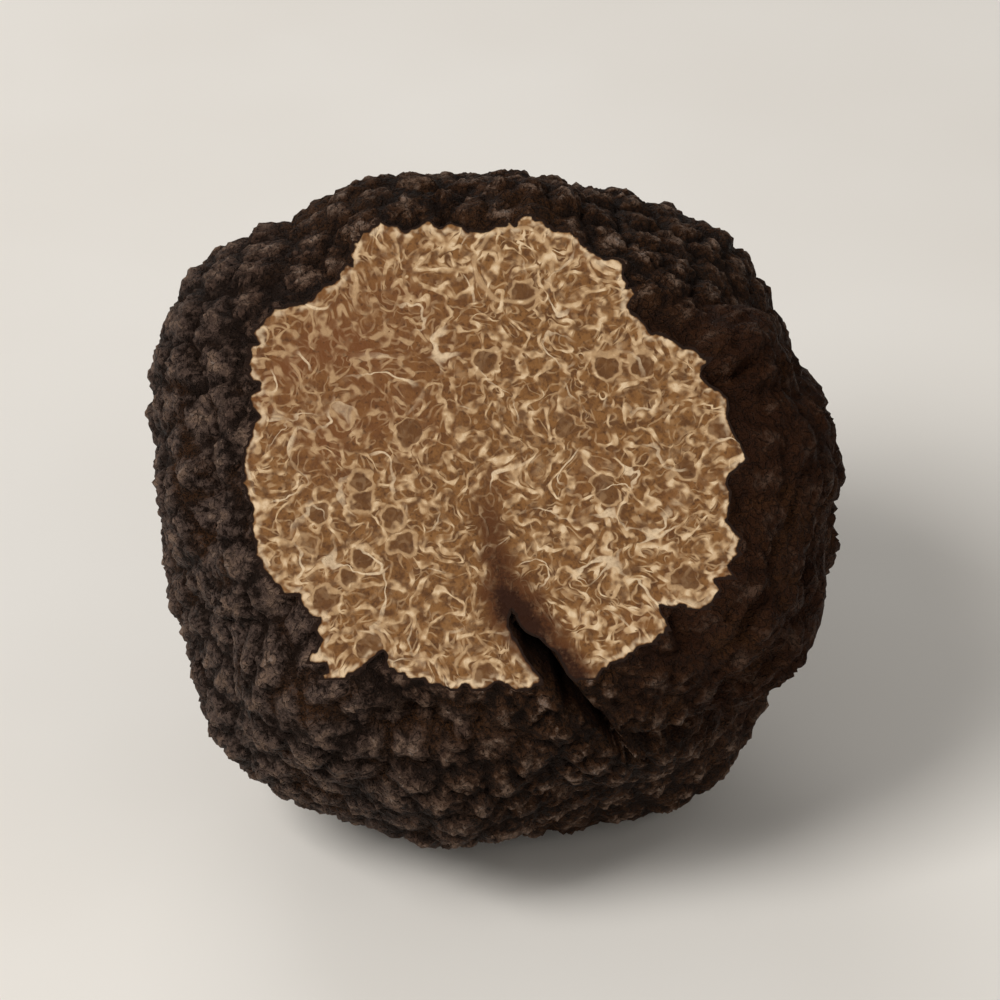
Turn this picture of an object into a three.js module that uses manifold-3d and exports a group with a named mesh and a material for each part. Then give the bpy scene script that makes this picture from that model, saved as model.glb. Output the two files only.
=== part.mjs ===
// A black truffle with a cap sliced off. The fruiting body is one grown piece: swollen lobes run together,
// a rind of pyramidal warts covers them, a deep fold runs in from the front, and the flat cut face looks up
// and forward. It rests on a small flat spot. Millimetres, +Z up, the cut face turned towards -Y.
import * as THREE from "three";
import { ConvexHull } from "three/addons/math/ConvexHull.js";
import { mergeVertices } from "three/addons/utils/BufferGeometryUtils.js";
import Module from "manifold-3d";

// Driving dimensions
const CORE_RADIUS = 25.2;
const CUT_DISTANCE = 17.9; // from the body's centre to the cut face
const CUT_ELEVATION = 45; // degrees between the cut face's normal and the horizon
const REST_DISTANCE = 25.7; // from the body's centre down to the flat spot
const LOBE_BLEND = 0.75; // how far lobes run into each other
const WART_SPACING = 2.45; // least distance between two wart tips
const WART_HEIGHT = 0.85;
const LOWEST_WART = 0.65; // share of the wart height
const WART_SPREAD = 0.7;
const LIP_OFFSET = 0.85; // share of a fold's half width
const LIP_SPREAD = 0.3;
const WART_SEED = 20;
const WART_TRIES = 30000;
const MERGE_DISTANCE = 1e-4;
const RIND_COLOR = 0x2b211b;

// Swollen lobes. The clock angle runs anticlockwise round the cut face from its right-hand side, the polar
// angle from the cut face's axis to the back, and reach is how far the lobe comes out from the centre.
const LOBES = [
  { clock: 150, polar: 70, radius: 12.5, reach: 29.8 },
  { clock: 116, polar: 60, radius: 9.0, reach: 27.8 },
  { clock: 180, polar: 64, radius: 11.0, reach: 27.4 },
  { clock: 232, polar: 62, radius: 7.5, reach: 29.6 },
  { clock: 258, polar: 80, radius: 12.5, reach: 28.0 },
  { clock: 302, polar: 64, radius: 11.0, reach: 27.0 },
  { clock: 332, polar: 66, radius: 11.0, reach: 29.0 },
  { clock: 2, polar: 62, radius: 8.0, reach: 28.6 },
  { clock: 48, polar: 88, radius: 13.5, reach: 27.6 },
  { clock: 82, polar: 56, radius: 6.5, reach: 26.4 },
  { clock: 96, polar: 98, radius: 12.0, reach: 27.0 },
  { clock: 8, polar: 104, radius: 14.5, reach: 28.2 },
  { clock: 190, polar: 106, radius: 12.5, reach: 27.0 },
  { clock: 228, polar: 92, radius: 14.0, reach: 28.6 },
  { clock: 308, polar: 112, radius: 11.5, reach: 29.0 },
  { clock: 246, polar: 134, radius: 12.0, reach: 26.8 },
  { clock: 60, polar: 142, radius: 13.0, reach: 27.4 },
  { clock: 150, polar: 148, radius: 12.0, reach: 27.0 },
  { clock: 24, polar: 56, radius: 4.5, reach: 28.0 },
  { clock: 204, polar: 54, radius: 8.0, reach: 26.4 },
  { clock: 280, polar: 112, radius: 12.0, reach: 26.6 },
];

// Folds pressed into the lobes along an arc from one place to another, both as [clock, polar]. Rows of warts
// line the ones that have a narrow floor. The first is the deep fold that notches the cut face.
const FOLDS = [
  { from: [258, 24], to: [299, 74], halfWidth: 2.2, sink: 6.8, lined: true },
  { from: [25, 42], to: [58, 42], halfWidth: 4.6, sink: 1.7, lined: false },
  { from: [236, 58], to: [270, 52], halfWidth: 1.9, sink: 1.3, lined: false },
  { from: [287, 56], to: [328, 88], halfWidth: 1.8, sink: 1.8, lined: true },
  { from: [158, 56], to: [206, 62], halfWidth: 2.2, sink: 1.4, lined: false },
  { from: [122, 74], to: [166, 118], halfWidth: 2.2, sink: 2.6, lined: true },
  { from: [66, 104], to: [116, 150], halfWidth: 2.3, sink: 2.8, lined: true },
  { from: [18, 62], to: [338, 124], halfWidth: 2.1, sink: 2.2, lined: true },
  { from: [200, 140], to: [262, 112], halfWidth: 2.2, sink: 2.2, lined: true },
];

const toRadians = THREE.MathUtils.degToRad;

// The cut face's own axes: out of it, to its right, and up it as seen from the front
const faceOut = new THREE.Vector3(0, -Math.cos(toRadians(CUT_ELEVATION)), Math.sin(toRadians(CUT_ELEVATION)));
const faceRight = new THREE.Vector3(1, 0, 0);
const faceUp = new THREE.Vector3().crossVectors(faceOut, faceRight);

function directionAt(clock, polar) {
  const c = toRadians(clock);
  const p = toRadians(polar);
  return new THREE.Vector3()
    .addScaledVector(faceOut, Math.cos(p))
    .addScaledVector(faceRight, Math.sin(p) * Math.cos(c))
    .addScaledVector(faceUp, Math.sin(p) * Math.sin(c));
}

// How far out a lobe's ball reaches along a direction from the body's centre, or 0 where it is missed
function lobeReach(direction, lobe) {
  const along = direction.dot(lobe.centre);
  const room = along * along - lobe.centre.lengthSq() + lobe.radius * lobe.radius;
  return room > 0 ? Math.max(along + Math.sqrt(room), 0) : 0;
}

const lobes = LOBES.map(({ clock, polar, radius, reach }) => ({
  centre: directionAt(clock, polar).multiplyScalar(reach - radius),
  radius,
}));

const folds = FOLDS.map((fold) => {
  const start = directionAt(...fold.from);
  const end = directionAt(...fold.to);
  const side = new THREE.Vector3().crossVectors(start, end).normalize();
  return { ...fold, start, side, ahead: side.clone().cross(start), span: start.angleTo(end) };
});

// How deep a fold lies under the lobes: a rounded V across it, fading out towards both ends
function foldDepth(direction, fold) {
  const along = Math.atan2(direction.dot(fold.ahead), direction.dot(fold.start)) / fold.span;
  const across = Math.abs(Math.asin(direction.dot(fold.side))) * CORE_RADIUS;
  if (along <= 0 || along >= 1) return 0;
  return fold.sink * Math.sin(Math.PI * along) * (1 - THREE.MathUtils.smoothstep(across, 0, fold.halfWidth));
}

// The lobes and the core run together by a smooth maximum, with the deepest fold there pressed in
function groundRadius(direction) {
  let sum = 1;
  for (const lobe of lobes) {
    sum += Math.exp((lobeReach(direction, lobe) - CORE_RADIUS) / LOBE_BLEND);
  }
  const depth = Math.max(...folds.map((fold) => foldDepth(direction, fold)));
  return CORE_RADIUS + LOBE_BLEND * Math.log(sum) - depth;
}

// Numbers from 0 to 1 in a fixed order
function seededNumbers(seed) {
  const factor = 1664525;
  const step = 1013904223;
  const modulus = 2 ** 32;
  let state = seed;
  return () => {
    state = (state * factor + step) % modulus;
    return state / modulus;
  };
}

// Points along a fold as unit directions: a row down its floor, between two rows of wart tips on its lips
function foldRows({ start, side, ahead, span, halfWidth }, next) {
  const steps = Math.floor((span * CORE_RADIUS) / WART_SPACING);
  const floor = [];
  const lips = [];
  for (let i = 1; i < steps; i++) {
    const turn = (span * i) / steps;
    const middle = start.clone().multiplyScalar(Math.cos(turn)).addScaledVector(ahead, Math.sin(turn));
    floor.push(middle);
    for (const flank of [-1, 1]) {
      const offset = (flank * halfWidth * (LIP_OFFSET + LIP_SPREAD * next())) / CORE_RADIUS;
      lips.push(middle.clone().addScaledVector(side, offset).normalize());
    }
  }
  return { floor, lips };
}

// Points all over the body, as unit directions: the folds' floors, and wart tips on their lips and at random
// wherever no other point is too near
function scatterPoints(next) {
  const apart = WART_SPACING / CORE_RADIUS;
  const rows = folds.filter((fold) => fold.lined).map((fold) => foldRows(fold, next));
  const floor = rows.flatMap((row) => row.floor);
  const tips = rows.flatMap((row) => row.lips);
  const isFree = (point) => (other) => other.distanceToSquared(point) > apart * apart;
  for (let i = 0; i < WART_TRIES; i++) {
    const z = 2 * next() - 1;
    const turn = 2 * Math.PI * next();
    const level = Math.sqrt(1 - z * z);
    const tip = new THREE.Vector3(level * Math.cos(turn), level * Math.sin(turn), z);
    if (tips.every(isFree(tip)) && floor.every(isFree(tip))) tips.push(tip);
  }
  return { floor, tips };
}

// The closed surface of warts: a pyramid stands on every tip, and neighbours meet in grooves whose corners
// lie in the middle of each three points
function wartSurface(next) {
  const { floor, tips } = scatterPoints(next);
  const heights = new Map(floor.map((point) => [point, 0]));
  for (const tip of tips) heights.set(tip, WART_HEIGHT * (LOWEST_WART + WART_SPREAD * next()));
  const grooveAt = (face) => {
    const { edge } = face;
    const corners = [edge.head().point, edge.next.head().point, edge.prev.head().point];
    const middle = corners.reduce((sum, p) => sum.add(p), new THREE.Vector3()).normalize();
    return middle.multiplyScalar(groundRadius(middle));
  };
  const hull = new ConvexHull().setFromPoints([...floor, ...tips]);
  const grooves = new Map(hull.faces.map((face) => [face, grooveAt(face)]));
  const points = [];
  for (const face of hull.faces) {
    let edge = face.edge;
    do {
      const tip = edge.tail().point;
      const top = tip.clone().multiplyScalar(groundRadius(tip) + heights.get(tip));
      points.push(top, grooves.get(edge.twin.face), grooves.get(face));
      edge = edge.next;
    } while (edge !== face.edge);
  }
  return new THREE.BufferGeometry().setFromPoints(points);
}

// A block whose near face lies square to an axis at a distance from the centre, to cut off what is beyond
function blockBeyond(axis, distance) {
  const size = 4 * CORE_RADIUS; // more than the body is wide
  const turn = new THREE.Quaternion().setFromUnitVectors(new THREE.Vector3(0, 0, 1), axis);
  const block = new THREE.BoxGeometry(size, size, size).applyQuaternion(turn);
  const middle = axis.clone().multiplyScalar(distance + size / 2);
  return block.translate(middle.x, middle.y, middle.z);
}

const wasm = await Module();
wasm.setup();

function solidFrom(geometry) {
  geometry.deleteAttribute("normal");
  geometry.deleteAttribute("uv");
  const merged = mergeVertices(geometry, MERGE_DISTANCE);
  return new wasm.Manifold(
    new wasm.Mesh({
      numProp: 3,
      vertProperties: merged.attributes.position.array,
      triVerts: new Uint32Array(merged.index.array),
    }),
  );
}

function geometryFrom(solid) {
  const { vertProperties, triVerts } = solid.getMesh();
  const geometry = new THREE.BufferGeometry();
  geometry.setAttribute("position", new THREE.BufferAttribute(vertProperties, 3));
  geometry.setIndex(new THREE.BufferAttribute(triVerts, 1));
  return geometry.toNonIndexed();
}

function truffleGeometry() {
  const next = seededNumbers(WART_SEED);
  let body = solidFrom(wartSurface(next));
  body = body.subtract(solidFrom(blockBeyond(faceOut, CUT_DISTANCE)));
  body = body.subtract(solidFrom(blockBeyond(new THREE.Vector3(0, 0, -1), REST_DISTANCE)));
  return geometryFrom(body);
}

const geometry = truffleGeometry();
geometry.computeVertexNormals();
geometry.computeBoundingBox();
const { min, max } = geometry.boundingBox;

const truffle = new THREE.Mesh(
  geometry,
  new THREE.MeshStandardMaterial({ color: RIND_COLOR, roughness: 0.8, metalness: 0 }),
);
truffle.name = "truffle";
// The origin is on the surface that it rests on, under the middle of its bounding box
truffle.position.set(-(min.x + max.x) / 2, -(min.y + max.y) / 2, -min.z);

const part = new THREE.Group();
part.add(truffle);

export default part;
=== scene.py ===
"""A black truffle with a cap sliced off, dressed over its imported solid.

The body is grown again from the solid's own lobes, folds and wart tips, as one closed mesh with a finer
rind and a marbled cut face. Its form is worked out in millimetres about its centre, and the scene is in
metres.
"""

from __future__ import annotations

import logging
import math
from dataclasses import dataclass, field
from enum import Enum
from typing import Any, Callable, Iterator, Sequence, Union

import bmesh
import bpy
import numpy as np
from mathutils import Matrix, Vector, geometry, noise

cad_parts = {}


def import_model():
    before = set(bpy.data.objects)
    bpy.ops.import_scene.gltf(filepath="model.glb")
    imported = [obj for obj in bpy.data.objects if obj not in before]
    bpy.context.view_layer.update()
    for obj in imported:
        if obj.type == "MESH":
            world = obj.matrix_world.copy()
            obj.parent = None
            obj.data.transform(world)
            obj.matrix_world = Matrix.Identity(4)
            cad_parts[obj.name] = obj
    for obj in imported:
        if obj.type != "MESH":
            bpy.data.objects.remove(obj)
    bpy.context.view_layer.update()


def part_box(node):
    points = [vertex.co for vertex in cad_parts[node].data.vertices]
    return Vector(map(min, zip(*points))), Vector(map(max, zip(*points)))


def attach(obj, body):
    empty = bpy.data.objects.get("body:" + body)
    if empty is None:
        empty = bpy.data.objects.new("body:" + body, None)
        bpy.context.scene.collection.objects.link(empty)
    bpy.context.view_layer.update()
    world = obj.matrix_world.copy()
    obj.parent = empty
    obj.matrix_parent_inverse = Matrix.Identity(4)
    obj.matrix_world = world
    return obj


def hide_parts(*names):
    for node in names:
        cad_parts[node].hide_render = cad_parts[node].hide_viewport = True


Array = np.ndarray
Colour = tuple[float, float, float, float]

MILLIMETRE = 0.001
NODE = "truffle"
PIECE = "truffle_body"
SWAY_SEED = 5

log = logging.getLogger("truffle")


def smoothstep(values: Array, low: float, high: float) -> Array:
    """Rises smoothly from 0 at low to 1 at high, or falls where high is the lower."""
    share = np.clip((values - low) / (high - low), 0.0, 1.0)
    return share * share * (3.0 - 2.0 * share)


def raised(least: float, share: Array) -> Array:
    """A share from 0 to 1, brought to between least and 1."""
    return least + (1.0 - least) * share


def unit(vectors: Array) -> Array:
    """The same directions, each one long."""
    return vectors / np.linalg.norm(vectors, axis=-1, keepdims=True)


@dataclass(frozen=True)
class Pattern:
    """A random pattern that fills space, whose bumps are about size millimetres wide.

    Its grain adds up that many octaves, each half as wide as the one before. A shift moves the pattern
    along, so that no two patterns line up.
    """

    size: float
    octaves: int = 1
    shift: float = 0.0
    pebble_steepness: float = 2.0
    pebble_roundness: float = 0.7

    def _read(self, places: Array, noise_at: Callable[[Vector], Any]) -> Array:
        """One reading of a noise for each place."""
        return np.array([noise_at(Vector(place)) for place in (places + self.shift) / self.size])

    def grain(self, places: Array) -> Array:
        """Smooth numbers at places in millimetres, mostly between -1 and 1."""
        return self._read(places, lambda place: noise.fractal(place, 1.0, 2.0, self.octaves))

    def sway(self, places: Array) -> Array:
        """Smooth sideways pushes at places in millimetres, mostly shorter than 1."""
        noise.seed_set(SWAY_SEED)
        return self._read(places, noise.noise_vector)

    def pebbles(self, places: Array) -> Array:
        """Small rounded lumps.

        Args:
            places: Places in millimetres, one a row.

        Returns:
            0 in the cracks between the lumps, rising to 1 on top.
        """
        nearest = self._read(places, lambda place: noise.voronoi(place)[0])
        gap = nearest[:, 1] - nearest[:, 0]
        return np.minimum(gap * self.pebble_steepness, 1.0) ** self.pebble_roundness


@dataclass(frozen=True)
class CutFace:
    """The plane that sliced the cap off, whose axes also give places on the body.

    The clock angle runs anticlockwise round the cut face from its right-hand side, and the polar angle
    from the face's own axis to the back.
    """

    distance: float = 17.9
    elevation: float = 45.0

    @property
    def out(self) -> Array:
        """The direction that the face looks in."""
        slope = math.radians(self.elevation)
        return np.array([0.0, -math.cos(slope), math.sin(slope)])

    @property
    def right(self) -> Array:
        """The direction to the face's right-hand side."""
        return np.array([1.0, 0.0, 0.0])

    @property
    def up(self) -> Array:
        """The direction up the face."""
        return np.cross(self.out, self.right)

    def direction(self, clock: float, polar: float) -> Array:
        """A direction on the body.

        Args:
            clock: The angle round the face's axis, in degrees.
            polar: The angle from the face's axis, in degrees.

        Returns:
            The unit direction from the body's centre.
        """
        turn = math.radians(clock)
        tilt = math.radians(polar)
        level = math.cos(turn) * self.right + math.sin(turn) * self.up
        return math.cos(tilt) * self.out + math.sin(tilt) * level


FACE = CutFace()


@dataclass(frozen=True)
class Lobe:
    """A swelling of the body: a ball at those angles that reaches so far out from the centre."""

    clock: float
    polar: float
    radius: float
    reach: float

    def distance(self, directions: Array) -> Array:
        """How far out the ball reaches.

        Args:
            directions: Unit directions from the body's centre, one a row.

        Returns:
            The reach along each direction in millimetres, or 0 where the ball is missed.
        """
        centre = FACE.direction(self.clock, self.polar) * (self.reach - self.radius)
        along = directions @ centre
        room = along * along - centre @ centre + self.radius**2
        return np.where(room > 0.0, np.maximum(along + np.sqrt(np.maximum(room, 0.0)), 0.0), 0.0)


@dataclass(frozen=True)
class Fold:
    """A rounded V pressed into the lobes along an arc between two (clock, polar) places.

    The finer rind keeps the share slim of the solid's width, and less by the share closing at the far end.
    """

    begin: tuple[float, float]
    end: tuple[float, float]
    half_width: float
    sink: float
    lined: bool
    slim: float = 1.0
    closing: float = 0.0

    @property
    def start(self) -> Array:
        """The direction of the arc's first end."""
        return FACE.direction(*self.begin)

    @property
    def side(self) -> Array:
        """The direction square to the arc."""
        return unit(np.cross(self.start, FACE.direction(*self.end)))

    @property
    def ahead(self) -> Array:
        """The direction that the arc sets out in."""
        return np.cross(self.side, self.start)

    @property
    def span(self) -> float:
        """The arc's length in radians."""
        return math.acos(float(self.start @ FACE.direction(*self.end)))

    def depth(self, directions: Array, radius: float) -> Array:
        """How deep the fold lies under the lobes.

        Args:
            directions: Unit directions from the body's centre, one a row.
            radius: The body's radius in millimetres.

        Returns:
            The depth along each direction in millimetres, 0 beyond the fold.
        """
        along = np.arctan2(directions @ self.ahead, directions @ self.start) / self.span
        across = np.abs(np.arcsin(np.clip(directions @ self.side, -1.0, 1.0))) * radius
        taper = np.where((along > 0.0) & (along < 1.0), np.sin(math.pi * along), 0.0)
        reach = self.half_width * self.slim * (1.0 - self.closing * np.clip(along, 0.0, 1.0))
        return self.sink * taper * (1.0 - smoothstep(across / reach, 0.0, 1.0))


LOBES = (
    Lobe(150, 70, 12.5, 29.8),
    Lobe(116, 60, 9.0, 27.8),
    Lobe(180, 64, 11.0, 27.4),
    Lobe(232, 62, 7.5, 29.6),
    Lobe(258, 80, 12.5, 28.0),
    Lobe(302, 64, 11.0, 27.0),
    Lobe(332, 66, 11.0, 29.0),
    Lobe(2, 62, 8.0, 28.6),
    Lobe(48, 88, 13.5, 27.6),
    Lobe(82, 56, 6.5, 26.4),
    Lobe(96, 98, 12.0, 27.0),
    Lobe(8, 104, 14.5, 28.2),
    Lobe(190, 106, 12.5, 27.0),
    Lobe(228, 92, 14.0, 28.6),
    Lobe(308, 112, 11.5, 29.0),
    Lobe(246, 134, 12.0, 26.8),
    Lobe(60, 142, 13.0, 27.4),
    Lobe(150, 148, 12.0, 27.0),
    Lobe(24, 56, 4.5, 28.0),
    Lobe(204, 54, 8.0, 26.4),
    Lobe(280, 112, 12.0, 26.6),
)

FOLDS = (
    Fold((258, 24), (299, 74), half_width=2.2, sink=6.8, lined=True, slim=0.82, closing=0.85),
    Fold((25, 42), (58, 42), half_width=4.6, sink=1.7, lined=False),
    Fold((236, 58), (270, 52), half_width=1.9, sink=1.3, lined=False),
    Fold((287, 56), (328, 88), half_width=1.8, sink=1.8, lined=True),
    Fold((158, 56), (206, 62), half_width=2.2, sink=1.4, lined=False),
    Fold((122, 74), (166, 118), half_width=2.2, sink=2.6, lined=True),
    Fold((66, 104), (116, 150), half_width=2.3, sink=2.8, lined=True),
    Fold((18, 62), (338, 124), half_width=2.1, sink=2.2, lined=True),
    Fold((200, 140), (262, 112), half_width=2.2, sink=2.2, lined=True),
)

# Dents in the cut face's outline and creases round it, finer than the solid's folds
CREASES = (
    Fold((103, 40), (103, 56), half_width=0.9, sink=1.0, lined=False),
    Fold((20, 40), (20, 58), half_width=0.9, sink=1.3, lined=False),
    Fold((216, 40), (216, 56), half_width=0.8, sink=0.7, lined=False),
    Fold((316, 40), (316, 56), half_width=0.7, sink=0.8, lined=False),
    Fold((58, 60), (126, 62), half_width=1.2, sink=0.9, lined=False),
    Fold((300, 68), (356, 66), half_width=1.1, sink=1.0, lined=False),
    Fold((312, 60), (340, 54), half_width=0.9, sink=0.7, lined=False),
    Fold((262, 68), (296, 82), half_width=1.1, sink=0.8, lined=False),
)


def seeded_numbers(seed: int) -> Iterator[float]:
    """Numbers in the fixed order that the solid draws them in.

    Args:
        seed: Where the row of numbers starts.

    Returns:
        An endless row of numbers from 0 to 1.
    """
    factor = 1664525
    step = 1013904223
    modulus = 2**32
    state = seed
    while True:
        state = (state * factor + step) % modulus
        yield state / modulus


@dataclass
class GrownForm:
    """The lobed, folded body that the solid has, and the wart tips scattered over it."""

    core_radius: float = 25.2
    rest_distance: float = 25.7
    lobe_blend: float = 0.75
    wart_spacing: float = 2.45
    wart_height: float = 0.85
    lowest_wart: float = 0.65
    wart_spread: float = 0.7
    lip_offset: float = 0.85
    lip_spread: float = 0.3
    seed: int = 20
    tries: int = 30000
    points: Array = field(init=False)
    heights: Array = field(init=False)

    def __post_init__(self) -> None:
        """Scatters the warts, first along the lined folds and then at random."""
        draw = seeded_numbers(self.seed)
        floor, tips = self._fold_rows(draw)
        floor_count = len(floor)
        points = np.array(floor + tips)
        apart = (self.wart_spacing / self.core_radius) ** 2
        for _ in range(self.tries):
            z = 2.0 * next(draw) - 1.0
            turn = 2.0 * math.pi * next(draw)
            level = math.sqrt(1.0 - z * z)
            tip = np.array([level * math.cos(turn), level * math.sin(turn), z])
            if (((points - tip) ** 2).sum(axis=1) > apart).all():
                points = np.vstack([points, tip])
        drawn = np.array([next(draw) for _ in range(len(points) - floor_count)])
        warts = self.wart_height * (self.lowest_wart + self.wart_spread * drawn)
        self.points = points
        self.heights = np.concatenate([np.zeros(floor_count), warts])

    def _fold_rows(self, draw: Iterator[float]) -> tuple[list[Array], list[Array]]:
        """Rows of points along the lined folds.

        Args:
            draw: The numbers that scatter the lips.

        Returns:
            Points down the folds' floors, and wart tips on their lips.
        """
        floor = []
        lips = []
        for fold in (fold for fold in FOLDS if fold.lined):
            steps = math.floor(fold.span * self.core_radius / self.wart_spacing)
            for i in range(1, steps):
                turn = fold.span * i / steps
                middle = math.cos(turn) * fold.start + math.sin(turn) * fold.ahead
                floor.append(middle)
                for flank in (-1, 1):
                    offset = flank * fold.half_width * (self.lip_offset + self.lip_spread * next(draw))
                    lips.append(unit(middle + fold.side * offset / self.core_radius))
        return floor, lips

    def lobed(self, directions: Array) -> Array:
        """How far out the lobes reach, run together.

        Args:
            directions: Unit directions from the body's centre, one a row.

        Returns:
            The reach along each direction in millimetres.
        """
        total = np.ones(len(directions))
        for lobe in LOBES:
            total += np.exp((lobe.distance(directions) - self.core_radius) / self.lobe_blend)
        return self.core_radius + self.lobe_blend * np.log(total)

    def fold_depth(self, directions: Array) -> Array:
        """How deep the deepest fold along each direction is."""
        return np.max([fold.depth(directions, self.core_radius) for fold in FOLDS], axis=0)

    def centre(self) -> Array:
        """The body's centre, from the solid's box and the wart tops that touch it.

        Returns:
            The centre in the row frame, in millimetres.
        """
        reach = self.lobed(self.points) - self.fold_depth(self.points) + self.heights
        tops = self.points * reach[:, None]
        highest = np.array(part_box(NODE)[1]) / MILLIMETRE
        return np.array([*(highest - tops.max(axis=0))[:2], self.rest_distance])


@dataclass
class Warts:
    """Which wart each direction lies on, and where on it."""

    form: GrownForm
    neighbours: int = 9
    block: int = 4096
    groove_push: float = 0.75
    groove_sway: Pattern = Pattern(2.0)
    finer_share: float = 0.5
    finer_sway: Pattern = Pattern(0.8, shift=70.0)
    gully_ring: float = 1.7
    gully_step: float = 7.3
    gully_sharpness: float = 5.0
    gully_rise: tuple[float, float] = (0.98, 0.55)
    gullies: Pattern = Pattern(1.0)
    gully_axis: tuple[float, float, float] = (0.31, 0.17, 0.93)
    lot_strides: tuple[float, float, float] = (91.7, 57.3, 33.1)
    lot_factor: float = 13.7
    cone_share: float = 0.45
    dome_slope: float = 1.5
    dome_roundness: float = 2.4
    crown_rise: tuple[float, float] = (0.7, 0.95)
    crown_depth: float = 0.3
    plain_lots: float = 0.4

    def locate(self, directions: Array) -> tuple[Array, Array]:
        """Finds the wart under each direction.

        Args:
            directions: Unit directions from the body's centre, one a row.

        Returns:
            The wart's number, and 0 in the groove round it rising to 1 at its tip.
        """
        radius = self.form.core_radius
        places = directions * radius
        push = self.groove_sway.sway(places) + self.finer_share * self.finer_sway.sway(places)
        moved = unit(directions + self.groove_push / radius * push)
        numbers = []
        rises = []
        for first in range(0, len(moved), self.block):
            number, rise = self._locate_block(moved[first : first + self.block])
            numbers.append(number)
            rises.append(rise)
        return np.concatenate(numbers), np.concatenate(rises)

    def _locate_block(self, places: Array) -> tuple[Array, Array]:
        """Finds the wart under each of a few places, which are measured against every wart at once.

        Args:
            places: Unit directions from the body's centre, one a row.

        Returns:
            The wart's number, and 0 in the groove round it rising to 1 at its tip.
        """
        points = self.form.points
        closeness = places @ points.T
        near = np.argpartition(-closeness, self.neighbours, axis=1)[:, : self.neighbours]
        order = np.argsort(-np.take_along_axis(closeness, near, axis=1), axis=1)
        near = np.take_along_axis(near, order, axis=1)
        own = points[near[:, 0]]
        others = points[near[:, 1:]]
        towards = others - own[:, None]
        share = ((places - own)[:, None] * towards).sum(axis=2) / (towards**2).sum(axis=2)
        return near[:, 0], np.clip(1.0 - 2.0 * share, 0.0, 1.0).min(axis=1)

    def lots(self, number: Array) -> Array:
        """A number from 0 to 1 for each wart, the same each time."""
        return (self.form.points @ np.array(self.lot_strides) * self.lot_factor % 1.0)[number]

    def gully(self, directions: Array, number: Array, rise: Array) -> Array:
        """The narrow gullies that run down each wart's flanks from its tip.

        Args:
            directions: Unit directions from the body's centre, one a row.
            number: Each direction's wart.
            rise: How far up its wart each direction is, from 0 to 1.

        Returns:
            1 in a gully's floor and 0 between the gullies.
        """
        tips = self.form.points[number]
        east = unit(np.cross(tips, self.gully_axis))
        north = np.cross(tips, east)
        offset = directions - tips
        turn = np.arctan2((offset * north).sum(axis=1), (offset * east).sum(axis=1))
        level = [np.cos(turn) * self.gully_ring, np.sin(turn) * self.gully_ring, number * self.gully_step]
        lines = np.abs(self.gullies.grain(np.stack(level, axis=1)))
        return np.clip(1.0 - self.gully_sharpness * lines, 0.0, 1.0) * smoothstep(rise, *self.gully_rise)

    def profile(self, rise: Array, lot: Array) -> Array:
        """A wart's side view: part cone and part dome, on most warts with a dent in the crown.

        Args:
            rise: How far up its wart each direction is, from 0 to 1.
            lot: Each direction's wart's own number.

        Returns:
            The height as a share of the wart's.
        """
        dome = 1.0 - (1.0 - np.minimum(rise * self.dome_slope, 1.0)) ** self.dome_roundness
        crown = smoothstep(rise, *self.crown_rise) * (lot > self.plain_lots) * self.crown_depth
        return self.cone_share * rise + (1.0 - self.cone_share) * dome - crown


@dataclass
class Spots:
    """What is known of the rind along each direction, one entry a direction."""

    directions: Array
    polar: Array
    wart: Array
    rise: Array
    lot: Array
    gully: Array
    hollow: Array
    ground: Array
    gravel: Array
    rough: Array
    pebbles: Array
    lumps: Array
    crumbs: Array

    @property
    def places(self) -> Array:
        """The places on the ground under the warts, in millimetres about the body's centre."""
        return self.directions * self.ground[:, None]


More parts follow.
